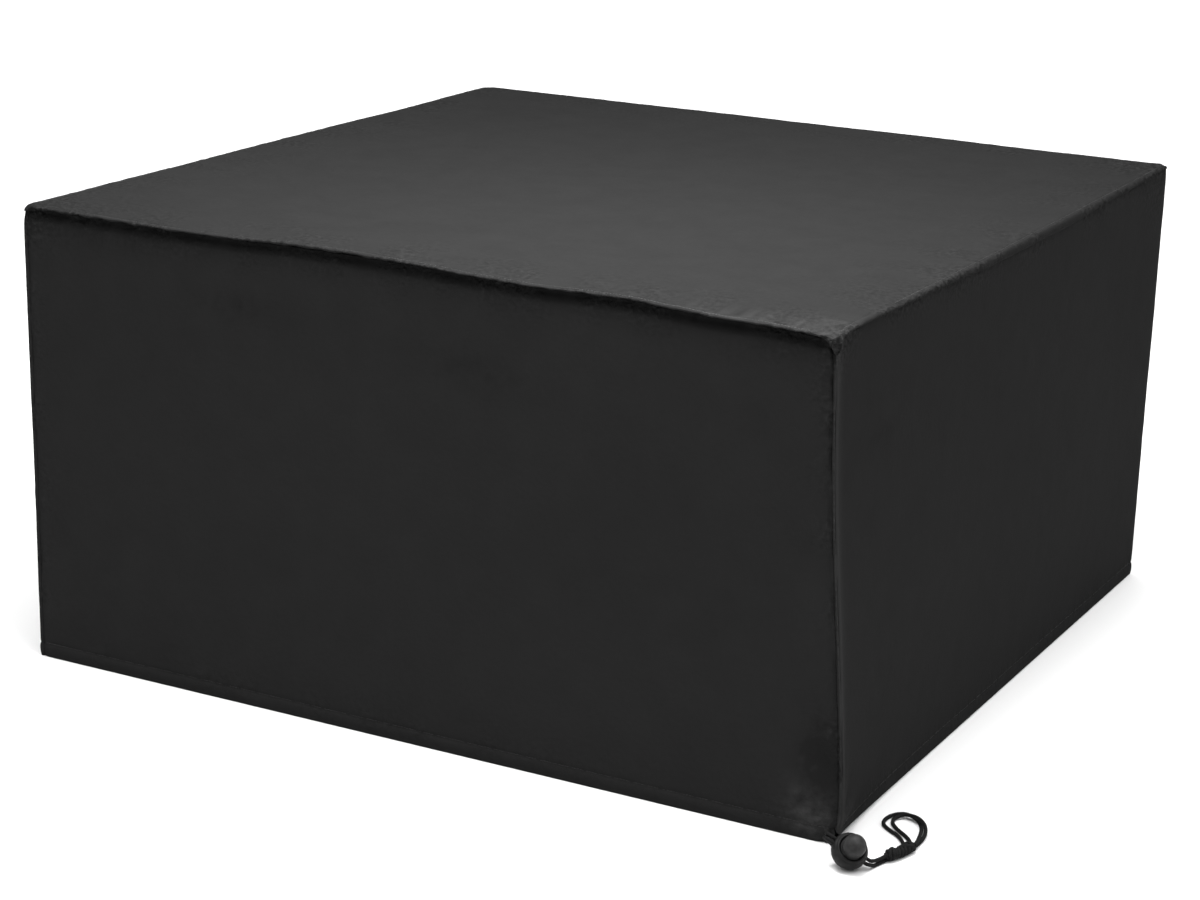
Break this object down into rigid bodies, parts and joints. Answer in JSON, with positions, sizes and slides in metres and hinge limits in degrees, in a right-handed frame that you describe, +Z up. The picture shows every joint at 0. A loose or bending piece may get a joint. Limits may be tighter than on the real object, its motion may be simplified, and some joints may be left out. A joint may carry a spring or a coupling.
{
  "type": "patio furniture cover",
  "caption": "Fitted box-shaped cloth cover that stands hollow over garden furniture, with a drawcord, push-button cord lock and knotted pull loop at one hem corner.",
  "frame": {"origin": "on the floor, under the middle of the cover's outline, at the hem's level", "axes": "+Z up; +X along the front wall towards the corner with the drawcord; the front wall faces -Y and that corner is at +X, -Y"},
  "size_m": [1.5135, 1.4565, 0.7502],
  "materials": {
    "coated_cloth": "matte coated polyester weave, charcoal",
    "elastic_cord": "braided black elastic cord",
    "moulded_plastic": "moulded black plastic with a soft sheen"
  },
  "bodies": {
    "cover": {"top_panel": "coated_cloth", "front_panel": "coated_cloth", "right_panel": "coated_cloth", "back_panel": "coated_cloth", "left_panel": "coated_cloth", "toggle_barrel": "moulded_plastic", "knot": "elastic_cord", "drawcord_upper": "elastic_cord", "drawcord_lower": "elastic_cord", "loop_outer": "elastic_cord", "loop_inner": "elastic_cord"},
    "button": {"toggle_button": "moulded_plastic"}
  },
  "joints": [
    {"name": "button_press", "type": "slide", "parent": "cover", "child": "button", "axis": [0.5499, -0.4581, 0.6984], "range_m": [-0.004, 0], "stiffness_N_per_m": 300, "springref_m": 0.0067}
  ]
}
